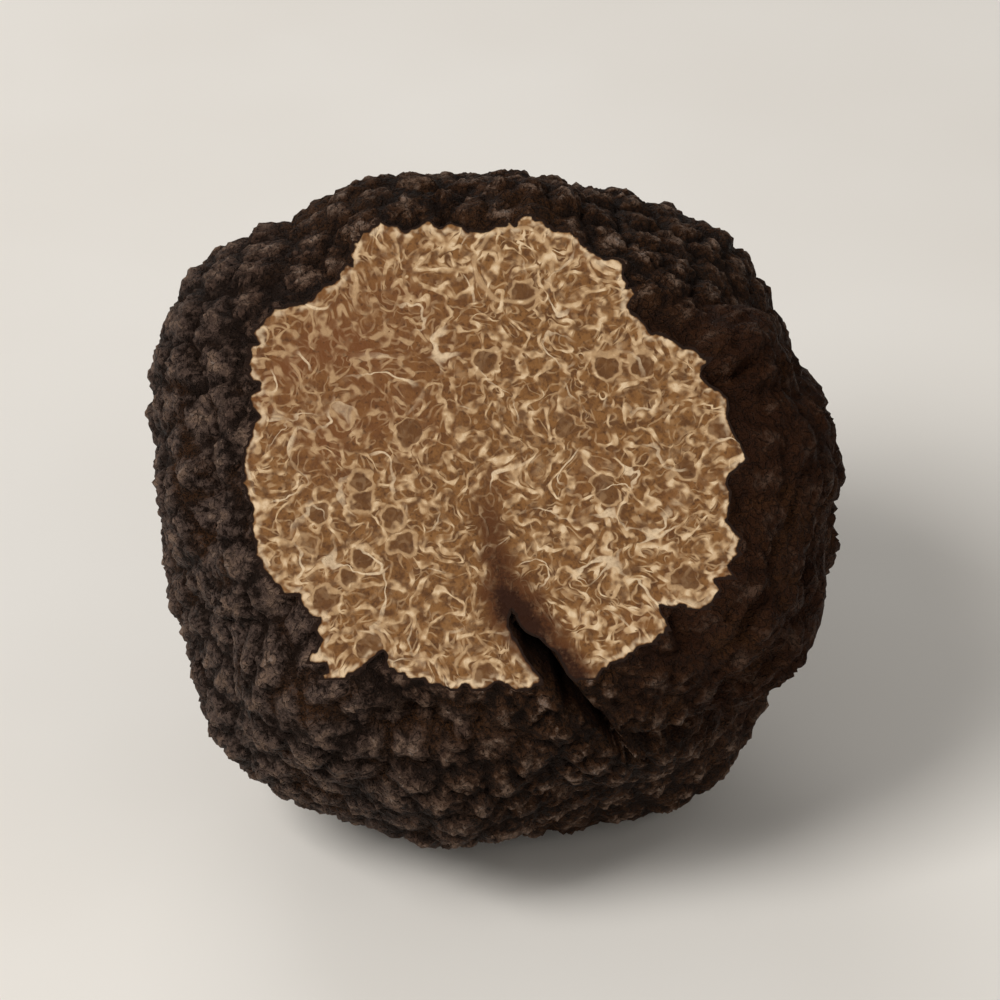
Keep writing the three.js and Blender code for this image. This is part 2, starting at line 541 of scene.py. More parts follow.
@dataclass
class Rind:
    """The fine relief of the rind over the grown form, in millimetres and degrees."""

    form: GrownForm
    smooth_side: tuple[float, float] = (350.0, 66.0)
    smooth_angle: tuple[float, float] = (18.0, 58.0)
    smooth_share: float = 0.45
    smooth_ragged: float = 9.0
    smooth_edge: Pattern = Pattern(9.0, 2)
    calm_polar: tuple[float, float] = (45.0, 56.0)
    calm_share: float = 0.62
    rim_polar: tuple[float, float] = (46.0, 53.0)
    rim_share: float = 0.35
    low_share: float = 0.3
    bold: Pattern = Pattern(8.0, 2, shift=20.0)
    bold_grain: tuple[float, float] = (-0.35, 0.3)
    bold_least: float = 0.8
    bold_gain: float = 0.35
    pebble: Pattern = Pattern(1.15)
    pebble_sway: Pattern = Pattern(1.1, shift=40.0)
    pebble_push: float = 0.35
    pebble_middle: float = 0.6
    pebble_height: float = 0.4
    lump: Pattern = Pattern(2.1, shift=60.0)
    lump_sway: Pattern = Pattern(1.8, shift=50.0)
    lump_push: float = 0.8
    lump_hollow: tuple[float, float] = (1.2, 3.6)
    lump_height: float = 1.1
    crumb: Pattern = Pattern(0.65, 2)
    crumb_height: float = 0.15
    gully_depth: float = 0.2
    wrinkle: Pattern = Pattern(1.0, 2, shift=11.0)
    wrinkle_turns: float = 3.0
    wrinkle_angle: float = 4.6
    wrinkle_sharpness: float = 2.6
    wrinkle_middle: float = 0.4
    wrinkle_smooth: tuple[float, float] = (0.0, 0.4)
    wrinkle_height: float = 0.55
    swell: Pattern = Pattern(5.0, 2, shift=9.0)
    swell_height: float = 0.25
    scallop: Pattern = Pattern(3.5, shift=30.0)
    scallop_polar: tuple[float, float] = (56.0, 48.0)
    scallop_middle: float = 0.2
    scallop_height: float = 1.2
    fold_push: float = 1.5
    fold_sway: Pattern = Pattern(5.0, shift=15.0)
    finer_fold_share: float = 0.35
    finer_fold_sway: Pattern = Pattern(1.5, shift=35.0)
    crease_push: float = 1.2
    crease_sway: Pattern = Pattern(3.0, shift=80.0)
    seep_hollow: tuple[float, float] = (0.6, 2.6)
    seep_polar: tuple[float, float] = (60.0, 49.0)
    most_over_cut: float = 0.18
    least_under_cut: float = 0.26
    cut_follow: float = 0.7
    cut_release: float = 2.0
    lowest_cosine: float = 0.2

    def gravel(self, directions: Array) -> Array:
        """How rough the rind is: least on the smooth side, 1 all over the rest.

        Args:
            directions: Unit directions from the body's centre, one a row.

        Returns:
            The roughness along each direction, up to 1.
        """
        middle = FACE.direction(*self.smooth_side)
        angle = np.degrees(np.arccos(np.clip(directions @ middle, -1.0, 1.0)))
        angle = angle + self.smooth_ragged * self.smooth_edge.grain(directions * self.form.core_radius)
        return raised(self.smooth_share, smoothstep(angle, *self.smooth_angle))

    def folds(self, directions: Array) -> Array:
        """How deep the body's folds are, which wander a little to either side.

        Args:
            directions: Unit directions from the body's centre, one a row.

        Returns:
            The deepest fold's depth along each direction in millimetres.
        """
        radius = self.form.core_radius
        places = directions * radius
        push = self.fold_sway.sway(places) + self.finer_fold_share * self.finer_fold_sway.sway(places)
        return self.form.fold_depth(unit(directions + self.fold_push / radius * push))

    def survey(self, directions: Array) -> Spots:
        """Works out what is known of the rind before its relief is added up.

        Args:
            directions: Unit directions from the body's centre, one a row.

        Returns:
            The rind's facts along each direction.
        """
        warts = Warts(self.form)
        number, rise = warts.locate(directions)
        hollow = self.folds(directions)
        ground = self.form.lobed(directions) - hollow
        places = directions * ground[:, None]
        polar = np.degrees(np.arccos(np.clip(directions @ FACE.out, -1.0, 1.0)))
        gravel = self.gravel(directions)
        return Spots(
            directions=directions,
            polar=polar,
            wart=number,
            rise=rise,
            lot=warts.lots(number),
            gully=warts.gully(directions, number, rise),
            hollow=hollow,
            ground=ground,
            gravel=gravel,
            rough=gravel * raised(self.rim_share, smoothstep(polar, *self.rim_polar)),
            pebbles=self.pebble.pebbles(places + self.pebble_push * self.pebble_sway.sway(places)),
            lumps=self.lump.pebbles(places + self.lump_push * self.lump_sway.sway(places)),
            crumbs=self.crumb.grain(places),
        )

    def _warts(self, spots: Spots) -> Array:
        """The warts, calmer beside the cut and bolder in some patches than in others.

        Args:
            spots: The rind's facts.

        Returns:
            Their heights in millimetres.
        """
        calm = raised(self.calm_share, smoothstep(spots.polar, *self.calm_polar))
        patches = smoothstep(self.bold.grain(spots.places), *self.bold_grain)
        bold = self.bold_least + self.bold_gain * patches
        tall = self.form.heights[spots.wart] * Warts(self.form).profile(spots.rise, spots.lot)
        return tall * raised(self.low_share, spots.gravel) * bold * calm

    def _gravelly(self, spots: Spots) -> Array:
        """The pebbles, crumbs and gullies on the warts, and the lumps that line the deep folds.

        Args:
            spots: The rind's facts.

        Returns:
            Their heights in millimetres.
        """
        pebbles = (spots.pebbles - self.pebble_middle) * raised(self.low_share, spots.rise) * spots.rough
        crumbs = spots.crumbs * raised(self.low_share, spots.rough)
        lumps = spots.lumps * smoothstep(spots.hollow, *self.lump_hollow)
        height = self.pebble_height * pebbles + self.crumb_height * crumbs
        return height - self.gully_depth * spots.gully * spots.rough + self.lump_height * lumps

    def _wrinkles(self, spots: Spots) -> Array:
        """Low ridges that run round the cut face on the smooth side.

        Args:
            spots: The rind's facts.

        Returns:
            Their heights in millimetres.
        """
        clock = np.arctan2(spots.directions @ FACE.up, spots.directions @ FACE.right)
        level = [np.cos(clock) * self.wrinkle_turns, np.sin(clock) * self.wrinkle_turns]
        round_face = np.stack([*level, spots.polar / self.wrinkle_angle], axis=1)
        ridges = np.clip(1.0 - np.abs(self.wrinkle.grain(round_face)) * self.wrinkle_sharpness, 0.0, 1.0)
        smooth = smoothstep(1.0 - spots.gravel, *self.wrinkle_smooth)
        smooth *= smoothstep(spots.polar, *self.rim_polar)
        return self.wrinkle_height * (ridges - self.wrinkle_middle) * smooth

    def _outline(self, spots: Spots) -> Array:
        """The scallops and creases that shape the cut face's outline.

        Args:
            spots: The rind's facts.

        Returns:
            Their heights in millimetres.
        """
        radius = self.form.core_radius
        scallops = np.abs(self.scallop.grain(spots.places)) - self.scallop_middle
        swayed = unit(spots.directions + self.crease_push / radius * self.crease_sway.sway(spots.places))
        creases = np.max([crease.depth(swayed, radius) for crease in CREASES], axis=0)
        return self.scallop_height * scallops * smoothstep(spots.polar, *self.scallop_polar) - creases

    def trimmed(self, height: Array, spots: Spots) -> Array:
        """Keeps the relief beside the cut low, so that the cut's outline has no fingers and no deep bays.

        Args:
            height: The relief's height in millimetres.
            spots: The rind's facts.

        Returns:
            The height, held back from above under the cut and from below over it.
        """
        cosine = np.maximum(spots.directions @ FACE.out, self.lowest_cosine)
        room = FACE.distance / cosine - spots.ground
        freed = -self.cut_release * room
        highest = np.where(room > 0.0, self.cut_follow * room, freed) + self.most_over_cut
        lowest = np.where(room < 0.0, self.cut_follow * room, freed) - self.least_under_cut
        return np.clip(height, lowest, highest)

    def reach(self, spots: Spots) -> Array:
        """How far out the rind reaches, relief and all.

        Args:
            spots: The rind's facts.

        Returns:
            The reach along each direction in millimetres.
        """
        swell = self.swell_height * self.swell.grain(spots.places)
        height = self._warts(spots) + self._gravelly(spots) + self._wrinkles(spots) + swell
        return spots.ground + self.trimmed(height + self._outline(spots), spots)

    def facts(self, spots: Spots) -> dict[str, Array]:
        """What the rind's finish needs to know.

        Args:
            spots: The rind's facts.

        Returns:
            Named numbers for each direction.
        """
        pebbles = spots.pebbles * raised(self.low_share, spots.rise)
        # How high on the crests each place is: the finish paints it lighter as a painted highlight, and
        # darker low down as painted shade.
        crest = 0.55 * spots.rise + 0.45 * pebbles + 0.4 * spots.crumbs - 0.3 * spots.gully
        seep = smoothstep(spots.hollow, *self.seep_hollow) * smoothstep(spots.polar, *self.seep_polar)
        return {
            "rise": spots.rise,
            "crest": np.clip(crest, 0.0, 1.0),
            "lot": spots.lot,
            "gravel": spots.gravel,
            # The folds' depth, which the finish paints near black as painted shade.
            "hollow": spots.hollow * (1.0 - 0.5 * spots.lumps),
            "seep": seep,
        }


def cube_sphere(cells: int) -> tuple[Array, list[tuple[int, ...]]]:
    """A unit ball of even four-sided faces, from a cube whose sides are drawn on it.

    Args:
        cells: How many faces lie along each side of the cube.

    Returns:
        The corners' directions, and each face's corners.
    """
    slopes = np.tan(np.linspace(-math.pi / 4.0, math.pi / 4.0, cells + 1))
    across, along = np.meshgrid(slopes, slopes, indexing="ij")
    corners = []
    faces = []
    for side in range(3):
        for sign in (1.0, -1.0):
            normal = np.roll([sign, 0.0, 0.0], side)
            first = np.roll([0.0, 1.0, 0.0], side)
            second = np.cross(normal, first)
            sheet = normal + across[..., None] * first + along[..., None] * second
            start = sum(len(part) for part in corners)
            corners.append(sheet.reshape(-1, 3))
            index = start + np.arange((cells + 1) ** 2).reshape(cells + 1, cells + 1)
            square = [index[:-1, :-1], index[1:, :-1], index[1:, 1:], index[:-1, 1:]]
            faces.append(np.stack(square, axis=-1).reshape(-1, 4))
    every = unit(np.concatenate(corners))
    _, keep, same = np.unique(np.round(every, 7), axis=0, return_index=True, return_inverse=True)
    return every[keep], same.reshape(-1)[np.concatenate(faces)].tolist()


@dataclass(frozen=True)
class FlatCut:
    """A flat cut through the body: what lies beyond it goes, and a fine flat sheet closes the body.

    The sheet's inner points stay away from its outline by the share clear of their spacing.
    """

    normal: Array
    across: Array
    distance: float
    spacing: float
    clear: float = 0.45
    snap: float = 0.07
    stray_snaps: float = 2.0
    tolerance: float = 1e-3
    merge: float = 1e-4

    @property
    def along(self) -> Array:
        """The sheet's second axis, which makes a right-handed set with the first and the normal."""
        return np.cross(self.normal, self.across)

    def snapped(self, places: Array) -> Array:
        """Moves places that nearly lie on the cut straight out or in to it, so that no sliver is left.

        Args:
            places: Places in millimetres about the body's centre, one a row.

        Returns:
            The same places, some of them moved.
        """
        height = places @ self.normal
        close = np.abs(height - self.distance) < self.snap
        moved = places.copy()
        moved[close] *= (self.distance / height[close])[:, None]
        return moved

    def joined(self, places: Array, edges: Array) -> Array:
        """Moves stray bits back across the cut, so that it has one outline.

        Args:
            places: Places in millimetres about the body's centre, one a row.
            edges: Pairs of places that are neighbours.

        Returns:
            The same places, with none beyond the cut apart from its main part.
        """
        height = places @ self.normal
        moved = places.copy()
        for side in (1.0, -1.0):
            over = side * (height - self.distance) > 0.0
            pairs = edges[over[edges].all(axis=1)]
            label = np.arange(len(places))
            spread = True
            while spread:
                least = label[pairs].min(axis=1)
                before = label.copy()
                np.minimum.at(label, pairs[:, 0], least)
                np.minimum.at(label, pairs[:, 1], least)
                spread = bool((label != before).any())
            main = np.bincount(label[over]).argmax()
            stray = over & (label != main)
            moved[stray] *= ((self.distance - side * self.stray_snaps * self.snap) / height[stray])[:, None]
        return moved

    def holds(self, places: Array) -> Array:
        """Which places lie on the cut."""
        return np.abs(places @ self.normal - self.distance) < self.tolerance

    def flat(self, places: Array) -> Array:
        """The places' coordinates on the sheet."""
        return np.stack([places @ self.across, places @ self.along], axis=1)

    def lifted(self, flat: Array) -> Array:
        """The sheet's coordinates as places in space."""
        return self.normal * self.distance + flat[:, :1] * self.across + flat[:, 1:] * self.along


def in_space(flat: Array) -> Array:
    """Flat points as points in space, at no height."""
    return np.pad(flat, ((0, 0), (0, 1)))


def edge_distance(flat: Array, starts: Array, ends: Array, block: int = 2048) -> Array:
    """How far each flat point lies from an outline.

    Args:
        flat: The points, one a row.
        starts: The first ends of the outline's straight edges.
        ends: Their other ends.
        block: How many points are measured at once.

    Returns:
        The distance from each point to the nearest edge.
    """
    runs = ends - starts
    lengths = (runs**2).sum(axis=1)
    nearest = []
    for first in range(0, len(flat), block):
        offsets = flat[first : first + block, None] - starts
        share = np.clip((offsets * runs).sum(axis=2) / lengths, 0.0, 1.0)
        gaps = offsets - share[..., None] * runs
        nearest.append(np.sqrt((gaps**2).sum(axis=2).min(axis=1)))
    return np.concatenate(nearest)


def inside(flat: Array, starts: Array, ends: Array, block: int = 2048) -> Array:
    """Which flat points lie inside an outline, holes counted out.

    Args:
        flat: The points, one a row.
        starts: The first ends of the outline's straight edges.
        ends: Their other ends.
        block: How many points are tried at once.

    Returns:
        True for each point inside.
    """
    found = []
    for first in range(0, len(flat), block):
        x = flat[first : first + block, :1]
        y = flat[first : first + block, 1:]
        spans = (starts[:, 1] > y) != (ends[:, 1] > y)
        rise = np.where(ends[:, 1] == starts[:, 1], 1.0, ends[:, 1] - starts[:, 1])
        crossing = starts[:, 0] + (y - starts[:, 1]) * (ends[:, 0] - starts[:, 0]) / rise
        found.append((spans & (x < crossing)).sum(axis=1) % 2 == 1)
    return np.concatenate(found)


class Finish(Enum):
    """The body's finishes, numbered as its mesh's material slots."""

    RIND = 0
    FLESH = 1


@dataclass
class Shell:
    """The body's growing mesh: corners in millimetres about its centre, faces and their finishes."""

    corners: Array
    faces: list[tuple[int, ...]]
    finishes: list[int]
    rims: set[tuple[int, int]] = field(default_factory=set)
    flat_merge: float = 1e-7

    def cut(self, plane: FlatCut) -> None:
        """Takes away what lies beyond a cut, which leaves the body open there.

        Args:
            plane: The cut.
        """
        mesh = bpy.data.meshes.new("cutting")
        mesh.from_pydata(self.corners.tolist(), [], self.faces)
        body = bmesh.new()
        body.from_mesh(mesh)
        bpy.data.meshes.remove(mesh)
        bmesh.ops.bisect_plane(
            body,
            geom=[*body.verts, *body.edges, *body.faces],
            dist=plane.merge,
            plane_co=plane.normal * plane.distance,
            plane_no=plane.normal,
            clear_outer=True,
        )
        body.verts.index_update()
        self.corners = np.array([corner.co for corner in body.verts])
        self.faces = [tuple(corner.index for corner in face.verts) for face in body.faces]
        self.finishes = [Finish.RIND.value] * len(self.faces)
        body.free()

    def outline(self, plane: FlatCut) -> Array:
        """The open edges that lie on a cut.

        Args:
            plane: The cut.

        Returns:
            Pairs of corner numbers.
        """
        counts: dict[tuple[int, int], int] = {}
        for face in self.faces:
            for pair in zip(face, (*face[1:], face[0])):
                key = (min(pair), max(pair))
                counts[key] = counts.get(key, 0) + 1
        open_edges = np.array([key for key, count in counts.items() if count == 1])
        return open_edges[plane.holds(self.corners[open_edges]).all(axis=1)]

    def close(self, plane: FlatCut, finish: Finish) -> Array:
        """Closes the body at the cut with a sheet of small triangles.

        Args:
            plane: The cut.
            finish: The finish that the sheet takes.

        Returns:
            The numbers of the corners that lie inside the sheet, away from its outline.
        """
        edges = self.outline(plane)
        rim = np.unique(edges)
        place_of = {corner: i for i, corner in enumerate(rim.tolist())}
        outline = plane.flat(self.corners[rim])
        local = np.array([[place_of[a], place_of[b]] for a, b in edges.tolist()])
        starts = outline[local[:, 0]]
        ends = outline[local[:, 1]]
        grid = self._hexagons(outline, plane.spacing)
        grid = grid[inside(grid, starts, ends)]
        grid = grid[edge_distance(grid, starts, ends) > plane.clear * plane.spacing]
        flat = np.concatenate([outline, grid])
        points = [Vector(place) for place in flat]
        made = geometry.delaunay_2d_cdt(points, local.tolist(), [], 0, self.flat_merge)
        sources = [source[0] for source in made[3]]
        triangles = np.array([[sources[corner] for corner in face] for face in made[2]])
        triangles = triangles[inside(flat[triangles].mean(axis=1), starts, ends)]
        first = len(self.corners)
        numbers = np.concatenate([rim, first + np.arange(len(grid))])
        self.corners = np.concatenate([self.corners, plane.lifted(grid)])
        self.faces += [tuple(face) for face in numbers[triangles].tolist()]
        self.finishes += [finish.value] * len(triangles)
        self.rims |= {(min(a, b), max(a, b)) for a, b in edges.tolist()}
        return first + np.arange(len(grid))

    @staticmethod
    def _hexagons(outline: Array, spacing: float) -> Array:
        """Evenly spread points over an outline's box, in rows that are offset by half a step.

        Args:
            outline: The outline's flat points.
            spacing: How far apart the new points are.

        Returns:
            The new flat points.
        """
        low = outline.min(axis=0)
        high = outline.max(axis=0)
        rows = np.arange(low[1], high[1], spacing * math.sqrt(3.0) / 2.0)
        steps = np.arange(low[0], high[0], spacing)
        across = np.stack([steps + (i % 2) * spacing / 2.0 for i in range(len(rows))])
        along = np.repeat(rows[:, None], len(steps), axis=1)
        return np.stack([across.ravel(), along.ravel()], axis=1)


Number = Union["Value", float]


class Value:
    """A number that varies over a surface: a socket whose operators add Math nodes."""

    def __init__(self, nodes: "Nodes", socket: bpy.types.NodeSocket) -> None:
        """Wraps a socket of that node tree."""
        self.nodes = nodes
        self.socket = socket

    def _math(self, operation: str, first: Number, second: Number | None = None) -> "Value":
        """Adds a Math node."""
        sockets = {0: first} if second is None else {0: first, 1: second}
        return self.nodes.value("ShaderNodeMath", {"operation": operation}, sockets)

    def __add__(self, other: Number) -> "Value":
        """The sum."""
        return self._math("ADD", self, other)

    __radd__ = __add__

    def __sub__(self, other: Number) -> "Value":
        """The difference."""
        return self._math("SUBTRACT", self, other)

    def __rsub__(self, other: Number) -> "Value":
        """The difference the other way."""
        return self._math("SUBTRACT", other, self)

    def __mul__(self, other: Number) -> "Value":
        """The product."""
        return self._math("MULTIPLY", self, other)

    __rmul__ = __mul__

    def __truediv__(self, other: Number) -> "Value":
        """The ratio."""
        return self._math("DIVIDE", self, other)

    def __rtruediv__(self, other: Number) -> "Value":
        """The ratio the other way."""
        return self._math("DIVIDE", other, self)

    def __abs__(self) -> "Value":
        """The size without its sign."""
        return self._math("ABSOLUTE", self)

    def root(self) -> "Value":
        """The square root."""
        return self._math("SQRT", self)

    def most(self, other: Number) -> "Value":
        """The larger of the two."""
        return self._math("MAXIMUM", self, other)

    def smooth(self, low: float, high: float) -> "Value":
        """A smooth step.

        Args:
            low: Where it starts.
            high: Where it ends, below the start for a step that falls.

        Returns:
            0 before a rising step and 1 beyond it, or 1 and 0 for a falling one.
        """
        if high < low:
            return 1.0 - self.smooth(high, low)
        settings = {"interpolation_type": "SMOOTHSTEP"}
        return self.nodes.value("ShaderNodeMapRange", settings, {0: self, 1: low, 2: high})


Socketed = Union[Value, bpy.types.NodeSocket, float, Sequence[float]]


class Nodes:
    """A material's node tree, with one method that adds a node."""

    def __init__(self, name: str) -> None:
        """Starts a new material with its shader and nothing else in its tree.

        Args:
            name: The material's name.
        """
        self.material = bpy.data.materials.new(name)
        self.material.use_nodes = True
        self.tree = self.material.node_tree
        self.shader = self.tree.nodes["Principled BSDF"]

    def add(
        self, kind: str, settings: dict[str, Any] | None = None, sockets: dict[Any, Socketed] | None = None
    ) -> bpy.types.Node:
        """Adds a node.

        Args:
            kind: The node's type.
            settings: Its properties, which are set first.
            sockets: Values or links for its inputs, by name or number.

        Returns:
            The new node.
        """
        node = self.tree.nodes.new(kind)
        for name, setting in (settings or {}).items():
            setattr(node, name, setting)
        for name, value in (sockets or {}).items():
            self.feed(node.inputs[name], value)
        return node

    def feed(self, socket: bpy.types.NodeSocket, value: Socketed) -> None:
        """Sets a socket to a value, or links it.

        Args:
            socket: The input.
            value: A number or colour, or the output that feeds it.
        """
        if isinstance(value, Value):
            value = value.socket
        if isinstance(value, bpy.types.NodeSocket):
            self.tree.links.new(value, socket)
        else:
            socket.default_value = value

    def value(
        self, kind: str, settings: dict[str, Any], sockets: dict[Any, Socketed], output: Any = 0
    ) -> Value:
        """Adds a node and gives one of its outputs as a number."""
        return Value(self, self.add(kind, settings, sockets).outputs[output])

    def attribute(self, name: str) -> Value:
        """A number that the mesh carries at its corners."""
        return self.value("ShaderNodeAttribute", {"attribute_name": name}, {}, "Fac")

    def vector(self, operation: str, first: Socketed, second: Socketed) -> bpy.types.NodeSocket:
        """Adds a Vector Math node and gives its vector."""
        node = self.add("ShaderNodeVectorMath", {"operation": operation}, {0: first, 1: second})
        return node.outputs["Vector"]

    def measure(self, operation: str, *vectors: Socketed) -> Value:
        """Adds a Vector Math node and gives the number that it works out, such as a length."""
        settings = {"operation": operation}
        return self.value("ShaderNodeVectorMath", settings, dict(enumerate(vectors)), "Value")

    def noise(self, places: Socketed, size: float, detail: float = 0.0, roughness: float = 0.5) -> Value:
        """Smooth noise about 0.5, with bumps about size millimetres wide."""
        sockets = {"Vector": places, "Scale": 1.0 / size, "Detail": detail, "Roughness": roughness}
        return self.value("ShaderNodeTexNoise", {}, sockets, "Fac")

    def swirl(
        self, places: Socketed, size: float, push: float, detail: float = 1.0
    ) -> bpy.types.NodeSocket:
        """Pushes places about at random.

        Args:
            places: The places, in millimetres.
            size: How wide the swirls are.
            push: About three times how far the places go.
            detail: How many finer layers the swirls have.

        Returns:
            The moved places.
        """
        sockets = {"Vector": places, "Scale": 1.0 / size, "Detail": detail}
        clouds = self.add("ShaderNodeTexNoise", {}, sockets).outputs["Color"]
        centred = self.vector("SUBTRACT", clouds, (0.5, 0.5, 0.5))
        return self.vector("ADD", places, self.vector("MULTIPLY", centred, (push, push, push)))

    def mix(self, share: Number, first: Socketed, second: Socketed) -> bpy.types.NodeSocket:
        """Mixes two colours: the first where share is 0, the second where it is 1."""
        settings = {"data_type": "RGBA", "blend_type": "MIX", "clamp_factor": True}
        return self.add("ShaderNodeMix", settings, {0: share, 6: first, 7: second}).outputs[2]

    def bump(self, height: Value, depth: float, before: Socketed | None = None) -> bpy.types.NodeSocket:
        """Bends the normals by a height.

        Args:
            height: The height, from 0 to 1.
            depth: How many millimetres 1 stands for.
            before: The normals that another bump has bent already.

        Returns:
            The bent normals.
        """
        sockets: dict[Any, Socketed] = {"Height": height, "Distance": depth * MILLIMETRE, "Strength": 1.0}
        if before is not None:
            sockets["Normal"] = before
        return self.add("ShaderNodeBump", {}, sockets).outputs["Normal"]

    def dress(self, **inputs: Socketed) -> bpy.types.Material:
        """Feeds the shader's inputs.

        Args:
            inputs: Values or links by the input's name, with underscores for its spaces.

        Returns:
            The finished material.
        """
        for name, value in inputs.items():
            self.feed(self.shader.inputs[name.replace("_", " ").title().replace("Ior", "IOR")], value)
        return self.material


def colour(code: int) -> Colour:
    """The scene's linear light for a display colour.

    Args:
        code: Red, green and blue as in 0x8A6A4C.

    Returns:
        Red, green, blue and full cover.
    """
    parts = [(code >> shift & 255) / 255.0 for shift in (16, 8, 0)]
    red, green, blue = [p / 12.92 if p <= 0.04045 else ((p + 0.055) / 1.055) ** 2.4 for p in parts]
    return red, green, blue, 1.0


def object_millimetres(nodes: Nodes) -> bpy.types.NodeSocket:
    """The surface's own place, in millimetres."""
    place = nodes.add("ShaderNodeTexCoord").outputs["Object"]
    scale = 1.0 / MILLIMETRE
    return nodes.vector("MULTIPLY", place, (scale, scale, scale))


@dataclass(frozen=True)
class Layer:
    """A colour laid over what is below it.

    It begins to show where its mask passes start, and where the mask reaches full it covers by the share
    strength. A layer that shows where its mask is low has the lower number as full.
    """

    tint: Colour
    start: float
    full: float
    strength: float = 1.0

    def over(self, below: Socketed, mask: Value, within: Value | None = None) -> bpy.types.NodeSocket:
        """Lays the colour over another.

        Args:
            below: The colour below.
            mask: The number that the layer goes by.
            within: A further share that holds the layer back.

        Returns:
            The mixed colour.
        """
        share = mask.smooth(self.start, self.full) * self.strength
        if within is not None:
            share = share * within
        return mask.nodes.mix(share, below, self.tint)


@dataclass(frozen=True)
class RindFinish:
    """Near-black warty skin: grey on the crests, partly dry skin and partly painted highlight, dark in the
    grooves, partly painted shade and partly brown soil, and a painted sheen on the lower left side.

    Sizes and depths are in millimetres.
    """

    flank: Colour = colour(0x37200E)
    seeped: Colour = colour(0x311B0C)
    # Painted sheen: a lighter, greyer colour over the rind's lower left side.
    lit_side_sheen: Layer = Layer(colour(0x50413A), start=8.0, full=30.0)
    # Painted shade: near black in the grooves, where the crest and speckle height is low.
    groove: Layer = Layer(colour(0x180C05), start=0.42, full=0.0)
    # Partly dry grey skin and partly painted highlight: lighter grey on the crests.
    tip: Layer = Layer(colour(0x755F50), start=0.42, full=1.0)
    # Painted shade: near black at the foot of each wart.
    foot: Layer = Layer(colour(0x180C05), start=0.2, full=0.0, strength=0.75)
    # Painted shade: near black in the low spots of the speckle bump.
    pit: Layer = Layer(colour(0x180C05), start=0.42, full=0.3, strength=0.6)
    smooth_skin: Layer = Layer(colour(0x2C1404), start=0.0, full=0.45, strength=0.75)
    # Real dust and painted glints: pale grey specks on the highest crests.
    dust_and_glint: Layer = Layer(colour(0x8A7D75), start=1.05, full=1.5, strength=0.6)
    soil: Layer = Layer(colour(0x432811), start=0.4, full=0.9, strength=0.7)
    # Painted shade: near black in the folds, darker the deeper they are.
    deep: Layer = Layer(colour(0x180C05), start=1.0, full=4.0, strength=0.75)
    # Painted shade: near black along the cracks that the crackle bump presses in.
    crack: Layer = Layer(colour(0x180C05), start=0.07, full=0.0, strength=0.45)
    # The painted sheen's side, and how ragged its edge is.
    lit_side: tuple[float, float, float] = (-0.94, -0.3, -0.16)
    lit_side_ragged: float = 16.0
    patch_size: float = 6.0
    speckle_size: float = 0.5
    fine_size: float = 0.17
    crackle_size: float = 0.75
    crackle_depth: float = 0.14
    speckle_depth: float = 0.42
    fine_depth: float = 0.16
    roughness: float = 0.66
    specular: float = 0.1

    def build(self) -> bpy.types.Material:
        """Makes the rind's material.

        Returns:
            The material.
        """
        nodes = Nodes("rind")
        place = object_millimetres(nodes)
        crest = nodes.attribute("crest")
        patches = nodes.noise(place, self.patch_size, detail=3.0)
        speckle = nodes.noise(place, self.speckle_size, detail=4.0, roughness=0.7)
        fine = nodes.noise(place, self.fine_size, detail=2.0, roughness=0.6)
        bent = nodes.swirl(place, size=0.9, push=0.5)
        net = abs(nodes.noise(bent, self.crackle_size, detail=1.0) - 0.5)
        height = crest + (speckle - 0.5) * 1.3 + (fine - 0.5) * 0.5
        base = self._skin(nodes, place, height, patches, speckle)
        base = self._dirt(nodes, base, height, patches, speckle, fine)
        # Painted shade in the cracks that the bump below presses in.
        base = self.crack.over(base, net)
        relief = nodes.bump(net.smooth(self.crack.full, self.crack.start), self.crackle_depth)
        relief = nodes.bump(speckle, self.speckle_depth, relief)
        relief = nodes.bump(fine, self.fine_depth, relief)
        roughness = self.roughness + (speckle - 0.5) * 0.5 - crest * 0.12
        return nodes.dress(
            base_color=base, roughness=roughness, normal=relief, specular_ior_level=self.specular
        )

    def _skin(
        self, nodes: Nodes, place: Socketed, height: Value, patches: Value, speckle: Value
    ) -> bpy.types.NodeSocket:
        """The clean skin's colour: brown flanks, painted shade in the grooves, at the warts' feet and in
        small pits, grey tips that are partly painted highlight, and a painted sheen on the lower left side.

        Args:
            nodes: The node tree.
            place: Places in millimetres.
            height: How high up its wart each place is, with its speckles.
            patches: Wide soft clouds.
            speckle: Small clouds.

        Returns:
            The colour.
        """
        gravel = nodes.attribute("gravel")
        # Painted sheen towards the lower left side, with a ragged edge.
        towards = nodes.measure("DOT_PRODUCT", place, self.lit_side)
        base = self.lit_side_sheen.over(self.flank, towards + patches * self.lit_side_ragged)
        # Painted shade in the grooves, and a partly painted highlight on the tips.
        base = self.groove.over(base, height)
        base = self.tip.over(base, height + nodes.attribute("lot") * 0.15)
        # Painted shade at the warts' feet.
        base = self.foot.over(base, nodes.attribute("rise"), within=gravel)
        # Painted shade in the speckle's low spots.
        base = self.pit.over(base, speckle)
        return self.smooth_skin.over(base, 1.0 - gravel)

    def _dirt(
        self, nodes: Nodes, base: Socketed, height: Value, patches: Value, speckle: Value, fine: Value
    ) -> bpy.types.NodeSocket:
        """Lays dust with painted glints on the crests, soil in the grooves, brown in the folds by the cut,
        and painted shade deep in the folds.

        Args:
            nodes: The node tree.
            base: The clean skin's colour.
            height: How high up its wart each place is, with its speckles.
            patches: Wide soft clouds.
            speckle: Small clouds.
            fine: The smallest clouds.

        Returns:
            The colour.
        """
        topmost = height + patches * 0.35 + (speckle - 0.5) * 1.8
        clods = patches.smooth(0.48, 0.66) * fine.smooth(0.35, 0.6)
        # Real dust and painted glints on the crests.
        base = self.dust_and_glint.over(base, topmost, within=nodes.attribute("gravel").smooth(0.6, 1.0))
        base = self.soil.over(base, 1.0 - nodes.attribute("rise"), within=clods)
        base = nodes.mix(nodes.attribute("seep") * (0.4 + speckle), base, self.seeped)
        # Painted shade in the folds, by their depth.
        return self.deep.over(base, nodes.attribute("hollow"))


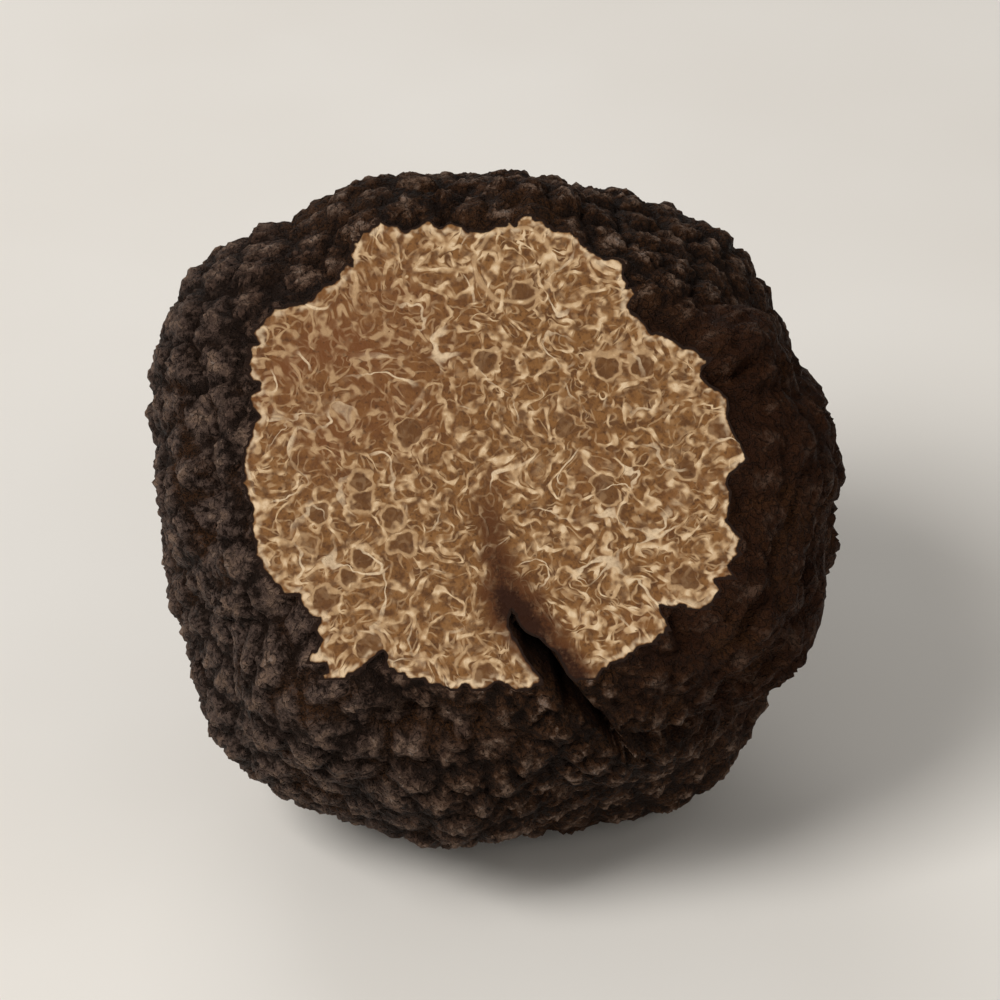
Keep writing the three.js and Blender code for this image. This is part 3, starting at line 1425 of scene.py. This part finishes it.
@dataclass(frozen=True)
class Lines:
    """Curling lines of one kind on the cut face.

    Their curls are about size millimetres wide, and shift sets them apart from the other kinds. A line
    fades in between two distances from its middle, each given as a share of its half width.
    """

    size: float
    shift: float
    fade: tuple[float, float] = (1.4, 0.4)
    step: float = 0.08
    least_slope: float = 0.012

    def draw(self, nodes: Nodes, place: Socketed, half_width: Number) -> Value:
        """Draws the lines.

        Args:
            nodes: The node tree.
            place: Places on the cut face, in millimetres.
            half_width: How wide a line is to either side, in millimetres.

        Returns:
            1 on a line and 0 away from it.
        """
        moved = nodes.vector("ADD", place, (self.shift, 0.7 * self.shift, 0.0))
        right = nodes.vector("ADD", moved, (self.step, 0.0, 0.0))
        up = nodes.vector("ADD", moved, (0.0, self.step, 0.0))
        here = nodes.noise(moved, self.size)
        across = (nodes.noise(right, self.size) - here) / self.step
        along = (nodes.noise(up, self.size) - here) / self.step
        slope = (across * across + along * along).root() + self.least_slope
        return (abs(here - 0.5) / slope / half_width).smooth(*self.fade)


class FleshPlaces:
    """The places on the cut face, and the clouds and zones on it that its colours are worked out from.

    Places are measured right and up from where the face's axis meets it, in millimetres.
    """

    warm_middle: tuple[float, float, float] = (-11.0, 8.0, 0.0)
    pale_middle: tuple[float, float, float] = (8.0, -9.0, 0.0)
    cells_middle: tuple[float, float, float] = (-12.0, -6.0, 0.0)
    eye_middle: tuple[float, float, float] = (1.6, 15.0, 0.0)

    def __init__(self, nodes: Nodes, body_centre: Sequence[float]) -> None:
        """Adds the nodes that the colours share.

        Args:
            nodes: The node tree.
            body_centre: The body's centre in the row frame, in millimetres.
        """
        place = nodes.vector("SUBTRACT", object_millimetres(nodes), body_centre)
        right = nodes.measure("DOT_PRODUCT", place, FACE.right)
        up = nodes.measure("DOT_PRODUCT", place, FACE.up)
        self.flat = nodes.add("ShaderNodeCombineXYZ", {}, {0: right, 1: up}).outputs[0]
        self.bent = nodes.swirl(nodes.swirl(self.flat, size=4.0, push=3.2), size=1.2, push=1.0)
        self.rim = nodes.attribute("rim")
        self.stain = nodes.attribute("stain")
        self.speck = nodes.noise(self.flat, size=0.28, detail=2.0, roughness=0.6)
        self.fleck = nodes.noise(self.flat, size=0.85, detail=1.0)
        self.mottle = nodes.noise(self.flat, size=0.95, detail=2.0, roughness=0.6)
        self.patches = nodes.noise(self.flat, size=5.0, detail=2.0)
        wandering = nodes.swirl(self.flat, size=5.0, push=9.0)
        warm_reach = nodes.measure("DISTANCE", wandering, self.warm_middle)
        pale_reach = nodes.measure("DISTANCE", self.flat, self.pale_middle)
        eye_reach = nodes.measure("DISTANCE", self.flat, self.eye_middle)
        cells_reach = nodes.measure("DISTANCE", self.flat, self.cells_middle)
        self.warmth = warm_reach.smooth(14.0, 1.0)
        self.paleness = pale_reach.smooth(9.0, 2.0).most(eye_reach.smooth(8.0, 2.0) * 0.7)
        self.crowded = cells_reach.smooth(10.0, 4.0) * self.rim.smooth(0.6, 1.8)


@dataclass(frozen=True)
class FleshFinish:
    """Tan flesh marbled by short curling cream veins, with a pale line and a black skin at its edge."""

    body_centre: tuple[float, float, float]
    dark: Colour = colour(0x5A391C)
    warm: Colour = colour(0x6B401E)
    vein: Colour = colour(0xBB9A73)
    bright: Colour = colour(0xE2CAA8)
    skin: Colour = colour(0x20120A)
    ground: Layer = Layer(colour(0x7F572E), start=0.3, full=0.66)
    pepper: Layer = Layer(colour(0x4A2D15), start=0.4, full=0.3, strength=0.6)
    halo: Layer = Layer(colour(0x4E2A10), start=0.12, full=0.6, strength=0.88)
    stain: Layer = Layer(colour(0x2C1508), start=0.5, full=0.95)
    curls: Lines = Lines(1.75, shift=0.0, fade=(1.35, 0.5))
    threads: Lines = Lines(0.95, shift=23.0)
    rays: Lines = Lines(1.1, shift=47.0)
    trunks: Lines = Lines(4.2, shift=61.0, fade=(1.3, 0.5))
    thread_width: float = 0.1
    ray_width: float = 0.13
    ray_rim: tuple[float, float] = (5.5, 2.0)
    eye_radius: float = 3.0
    eye_width: float = 0.22
    ring_fade: tuple[float, float] = (1.4, 0.3)
    cell_spacing: float = 3.0
    cell_picked: tuple[float, float] = (0.84, 0.9)
    ring_width: float = 0.19
    relief_depth: float = 0.08
    specular: float = 0.16

    def build(self) -> bpy.types.Material:
        """Makes the flesh's material.

        Returns:
            The material.
        """
        nodes = Nodes("flesh")
        at = FleshPlaces(nodes, self.body_centre)
        rings, insides = self._cells(nodes, at)
        marks = self._veins(nodes, at, insides)
        marks = marks.most(rings * (0.25 + at.fleck)).most(self._eye(nodes, at) * (0.3 + at.fleck))
        marks = marks * (0.7 + at.speck * 0.6)
        pattern = nodes.mix(marks, self._ground(nodes, at, insides), self.vein)
        pattern = nodes.mix(self._highlights(nodes, at, marks), pattern, self.bright)
        edge = at.rim + (nodes.noise(at.flat, size=0.8, detail=1.0) - 0.5) * 0.4
        line = edge.smooth(0.2, 0.34) * edge.smooth(0.8, 0.4)
        skin = edge.smooth(0.26, 0.14)
        pattern = nodes.mix(line * at.fleck.smooth(0.38, 0.6) * 0.6, pattern, self.bright)
        pattern = self.halo.over(pattern, at.stain + (at.mottle - 0.5) * 0.6)
        pattern = self.stain.over(pattern, at.stain + (at.speck - 0.5) * 0.6)
        pattern = nodes.mix(skin, pattern, self.skin)
        roughness = 0.5 + at.speck * 0.16 + marks * 0.08 + skin.most(at.stain) * 0.25
        relief = nodes.bump(marks * 0.5 + at.speck * 0.5, self.relief_depth)
        return nodes.dress(
            base_color=pattern, roughness=roughness, normal=relief, specular_ior_level=self.specular
        )

    def _cells(self, nodes: Nodes, at: FleshPlaces) -> tuple[Value, Value]:
        """Roundish darker cells of several sizes, each in a pale ring.

        Args:
            nodes: The node tree.
            at: The cut face's places.

        Returns:
            How much of a ring, and how much of a cell's inside, each place is.
        """
        place = nodes.swirl(at.flat, size=1.5, push=1.9, detail=2.0)
        sockets = {"Vector": place, "Scale": 1.0 / self.cell_spacing, "Randomness": 0.9}
        found = nodes.add("ShaderNodeTexVoronoi", {"voronoi_dimensions": "2D"}, sockets)
        lot = nodes.value("ShaderNodeSeparateColor", {}, {0: found.outputs["Color"]})
        picked = (lot + at.crowded * 0.5).smooth(*self.cell_picked)
        radius = 0.6 + lot * 0.55
        away = Value(nodes, found.outputs["Distance"]) * self.cell_spacing
        ring = (abs(away - radius) / self.ring_width).smooth(*self.ring_fade)
        return ring * picked, (radius - away).smooth(0.0, 0.25) * picked

    def _eye(self, nodes: Nodes, at: FleshPlaces) -> Value:
        """The one large round vein near the face's top."""
        reach = nodes.measure("DISTANCE", nodes.swirl(at.flat, size=1.6, push=0.8), at.eye_middle)
        return (abs(reach - self.eye_radius) / self.eye_width).smooth(*self.ring_fade)

    def _veins(self, nodes: Nodes, at: FleshPlaces, insides: Value) -> Value:
        """The fine veins: curls, threads between them, and rays that run in from the edge.

        Args:
            nodes: The node tree.
            at: The cut face's places.
            insides: How much of a dark cell's inside each place is.

        Returns:
            1 on a vein and 0 away from it.
        """
        middle = nodes.measure("LENGTH", at.bent).most(6.0)
        stretch = {0: at.bent, "Scale": 0.42 + 10.4 / middle}
        spokes = nodes.add("ShaderNodeVectorMath", {"operation": "SCALE"}, stretch).outputs[0]
        width = 0.12 + nodes.noise(at.flat, size=1.5, detail=1.0).smooth(0.35, 0.7) * 0.2
        curls = self.curls.draw(nodes, at.bent, width)
        threads = self.threads.draw(nodes, at.bent, self.thread_width)
        rays = self.rays.draw(nodes, spokes, self.ray_width) * at.rim.smooth(*self.ray_rim)
        blotch = nodes.noise(at.bent, size=2.6, detail=1.0).smooth(0.6, 0.72)
        blotch = blotch * (0.35 + at.paleness * 0.5)
        marks = curls.most(threads * 0.5).most(rays * 0.85).most(blotch)
        marks = marks * (0.1 + at.fleck.smooth(0.36, 0.58)) * (1.0 - insides * 0.8)
        return marks * (1.0 - at.warmth * 0.35) * (0.92 + at.paleness * 0.35)

    def _highlights(self, nodes: Nodes, at: FleshPlaces, marks: Value) -> Value:
        """The brightest cream: a few broad trunks, and flecks on the strongest veins.

        Args:
            nodes: The node tree.
            at: The cut face's places.
            marks: Where the veins are.

        Returns:
            How bright each place is.
        """
        width = 0.08 + nodes.noise(at.flat, size=2.4, detail=1.0).smooth(0.45, 0.75) * 0.24
        shown = nodes.noise(at.flat, size=3.4, detail=1.0).smooth(0.46, 0.66)
        trunks = self.trunks.draw(nodes, at.bent, width) * shown * (0.3 + at.speck * 0.8)
        return trunks.most(marks.smooth(0.75, 1.1) * at.fleck.smooth(0.5, 0.7) * 0.7)

    def _ground(self, nodes: Nodes, at: FleshPlaces, insides: Value) -> bpy.types.NodeSocket:
        """The brown between the veins, redder in one zone and darker in the cells.

        Args:
            nodes: The node tree.
            at: The cut face's places.
            insides: How much of a dark cell's inside each place is.

        Returns:
            The colour.
        """
        warmth = at.warmth * (0.2 + at.patches) + at.patches.smooth(0.5, 0.7) * 0.3
        ground = self.ground.over(self.dark, at.mottle + (at.speck - 0.5) * 0.5)
        ground = nodes.mix(warmth, ground, self.warm)
        ground = nodes.mix(insides * 0.7, ground, self.dark)
        return self.pepper.over(ground, nodes.noise(at.flat, size=0.4, detail=1.0))


@dataclass
class Truffle:
    """The whole cut body: one closed mesh that stands for the solid.

    Places on the cut face are measured right and up from where its axis meets it, in millimetres.
    """

    form: GrownForm = field(default_factory=GrownForm)
    cells: int = 131
    face_spacing: float = 0.45
    base_spacing: float = 0.6
    stain_mouth: tuple[float, float] = (5.7, -17.4)
    stain_apex: tuple[float, float] = (1.0, -11.0)
    stain_tail: tuple[float, float] = (-0.7, -3.4)
    stain_width: float = 2.1
    tail_width: float = 1.5
    tail_strength: float = 0.85
    tail_fade: float = 0.42
    stain_ragged: float = 0.7
    stain_edge: Pattern = Pattern(1.5, 2)
    knife_depth: float = 0.035
    knife_middle: float = 0.5
    drag_size: tuple[float, float] = (7.0, 0.9)
    drag_share: float = 0.6
    drags: Pattern = Pattern(1.0, 2)
    dip_share: float = 0.8
    dips: Pattern = Pattern(1.4, 2, shift=5.0)

    def build(self) -> bpy.types.Object:
        """Grows, cuts, closes and dresses the body.

        Returns:
            The body.
        """
        rind = Rind(self.form)
        face = FlatCut(FACE.out, FACE.right, FACE.distance, self.face_spacing)
        base = FlatCut(np.array([0.0, 0.0, -1.0]), FACE.right, self.form.rest_distance, self.base_spacing)
        directions, faces = cube_sphere(self.cells)
        corners = directions * rind.reach(rind.survey(directions))[:, None]
        rings = np.array(faces)
        edges = np.stack([rings, np.roll(rings, -1, axis=1)], axis=-1).reshape(-1, 2)
        corners = face.snapped(face.joined(corners, edges))
        shell = Shell(base.snapped(corners), faces, [])
        shell.cut(face)
        shell.cut(base)
        on_face = shell.close(face, Finish.FLESH)
        shell.close(base, Finish.RIND)
        log.info("body has %d corners and %d faces", len(shell.corners), len(shell.faces))
        facts = rind.facts(rind.survey(unit(shell.corners)))
        facts.update(self._face_facts(shell, face, on_face))
        relief = self._knife_relief(face.flat(shell.corners[on_face]))
        shell.corners[on_face] += relief[:, None] * face.normal
        return self._mesh(shell, facts)

    def _face_facts(self, shell: Shell, face: FlatCut, on_face: Array) -> dict[str, Array]:
        """What the flesh's finish needs to know.

        Args:
            shell: The closed body.
            face: The cut that laid the flesh bare.
            on_face: The corners inside the cut face.

        Returns:
            For each corner its distance from the face's edge, and how stained it is by the deep fold.
        """
        edges = np.array(sorted(shell.rims))
        edges = edges[face.holds(shell.corners[edges]).all(axis=1)]
        outline = face.flat(shell.corners)
        rim = np.zeros(len(shell.corners))
        rim[on_face] = edge_distance(outline[on_face], outline[edges[:, 0]], outline[edges[:, 1]])
        stain = np.zeros(len(shell.corners))
        flesh = np.concatenate([on_face, np.unique(edges)])
        stain[flesh] = self._stain(outline[flesh])
        return {"rim": rim, "stain": stain}

    def _stain(self, flat: Array) -> Array:
        """Brown that seeps from the deep fold into the flesh, with a fading tail towards the middle.

        Args:
            flat: Places on the cut face, one a row.

        Returns:
            How stained each place is, up to 1.
        """
        mouth, apex, tail = (np.array(end) for end in (self.stain_mouth, self.stain_apex, self.stain_tail))
        ragged = self.stain_ragged * self.stain_edge.grain(in_space(flat))
        seam = np.maximum(edge_distance(flat, mouth[None], apex[None]) + ragged, 0.0)
        streak = np.maximum(edge_distance(flat, apex[None], tail[None]) + ragged, 0.0)
        run = tail - apex
        faded = self.tail_fade * np.clip((flat - apex) @ run / (run @ run), 0.0, 1.0)
        core = np.exp(-((seam / self.stain_width) ** 2))
        trail = np.exp(-((streak / self.tail_width) ** 2)) * (self.tail_strength - faded)
        return np.maximum(core, trail)

    def _knife_relief(self, flat: Array) -> Array:
        """The cut face's slight unevenness: long shallow drags of the knife and soft dips.

        Args:
            flat: Places on the cut face, one a row.

        Returns:
            The height of each place in millimetres.
        """
        drags = self.drag_share * self.drags.grain(in_space(flat / np.array(self.drag_size)))
        dips = self.dip_share * self.dips.grain(in_space(flat))
        return self.knife_depth * (drags + dips - self.knife_middle)

    def _mesh(self, shell: Shell, facts: dict[str, Array]) -> bpy.types.Object:
        """Turns the shell into an object in the row frame, with its finishes on.

        Args:
            shell: The closed body.
            facts: Named numbers for its corners, which the finishes read.

        Returns:
            The body.
        """
        centre = self.form.centre()
        places = (shell.corners + centre) * MILLIMETRE
        mesh = bpy.data.meshes.new(PIECE)
        mesh.from_pydata(places.tolist(), [], shell.faces)
        mesh.materials.append(RindFinish().build())
        mesh.materials.append(FleshFinish(tuple(centre)).build())
        mesh.polygons.foreach_set("material_index", shell.finishes)
        mesh.polygons.foreach_set("use_smooth", [True] * len(mesh.polygons))
        sharp = [tuple(sorted(edge.vertices)) in shell.rims for edge in mesh.edges]
        mesh.edges.foreach_set("use_edge_sharp", sharp)
        for name, numbers in facts.items():
            carried = mesh.attributes.new(name, "FLOAT", "POINT")
            carried.data.foreach_set("value", numbers.astype(np.float32))
        mesh.update()
        body = bpy.data.objects.new(PIECE, mesh)
        bpy.context.scene.collection.objects.link(body)
        return body


@dataclass(frozen=True)
class Lamp:
    """A square soft lamp: its place and side in metres, its power in watts and its colour."""

    name: str
    place: tuple[float, float, float]
    side: float
    power: float
    tint: tuple[float, float, float]

    def hang(self, aim: Sequence[float]) -> None:
        """Hangs the lamp so that it faces a point.

        Args:
            aim: The point, in metres.
        """
        light = bpy.data.lights.new(self.name, "AREA")
        light.size = self.side
        light.energy = self.power
        light.color = self.tint
        lamp = bpy.data.objects.new(self.name, light)
        lamp.location = self.place
        lamp.rotation_euler = (Vector(aim) - Vector(self.place)).to_track_quat("-Z", "Y").to_euler()
        bpy.context.scene.collection.objects.link(lamp)


@dataclass
class Studio:
    """A pale floor, soft light and a camera at the photograph's viewing angle, in metres and degrees."""

    elevation: float = 34.0
    distance: float = 0.375
    view_width: float = 0.08
    nearest: float = 0.01
    aim: tuple[float, float, float] = (0.0, 0.0, 0.0255)
    floor_size: float = 6.0
    floor_clouds: float = 60.0
    floor_shade: Colour = colour(0xE4E0DA)
    floor_light: Colour = colour(0xE9E6E1)
    floor_roughness: float = 0.7
    sky: Colour = colour(0xF3F1EE)
    sky_strength: float = 0.26
    lamps: tuple[Lamp, ...] = (
        Lamp("key", (-0.42, -0.34, 0.62), side=0.34, power=5.2, tint=(1.0, 0.975, 0.94)),
        Lamp("fill", (0.62, -0.42, 0.36), side=0.6, power=1.3, tint=(1.0, 0.95, 0.88)),
        Lamp("back", (-0.2, 0.62, 0.42), side=0.4, power=1.4, tint=(1.0, 0.98, 0.95)),
    )

    def build(self) -> None:
        """Makes the floor, the lights and the camera."""
        self._floor()
        self._sky()
        for lamp in self.lamps:
            lamp.hang(self.aim)
        self._camera()
        bpy.context.scene.view_settings.view_transform = "Standard"

    def _floor(self) -> None:
        """A wide pale floor with a faint unevenness."""
        half = self.floor_size / 2.0
        corners = [(-half, -half, 0.0), (half, -half, 0.0), (half, half, 0.0), (-half, half, 0.0)]
        mesh = bpy.data.meshes.new("floor")
        mesh.from_pydata(corners, [], [(0, 1, 2, 3)])
        nodes = Nodes("floor_paint")
        cloud = nodes.noise(object_millimetres(nodes), self.floor_clouds, 3.0)
        paint = nodes.mix(cloud.smooth(0.3, 0.7), self.floor_shade, self.floor_light)
        mesh.materials.append(nodes.dress(base_color=paint, roughness=self.floor_roughness))
        floor = bpy.data.objects.new("floor", mesh)
        bpy.context.scene.collection.objects.link(floor)

    def _sky(self) -> None:
        """Even, nearly white light from all round."""
        world = bpy.data.worlds.new("sky")
        world.use_nodes = True
        background = world.node_tree.nodes["Background"]
        background.inputs["Color"].default_value = self.sky
        background.inputs["Strength"].default_value = self.sky_strength
        bpy.context.scene.world = world

    def _camera(self) -> None:
        """The camera, in front of the body and above it."""
        tilt = math.radians(self.elevation)
        back = Vector((0.0, -math.cos(tilt), math.sin(tilt)))
        lens = bpy.data.cameras.new("camera")
        lens.lens = lens.sensor_width * self.distance / self.view_width
        lens.clip_start = self.nearest
        camera = bpy.data.objects.new("camera", lens)
        camera.location = Vector(self.aim) + back * self.distance
        camera.rotation_euler = (-back).to_track_quat("-Z", "Y").to_euler()
        bpy.context.scene.collection.objects.link(camera)
        bpy.context.scene.camera = camera


def main() -> None:
    """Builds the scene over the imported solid."""
    logging.basicConfig(level=logging.INFO, format="%(name)s: %(message)s")
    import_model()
    body = Truffle().build()
    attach(body, "root")
    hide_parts(NODE)
    log.info("%s made", body.name)
    Studio().build()
    log.info("studio made")
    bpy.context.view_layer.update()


if __name__ == "__main__":
    main()
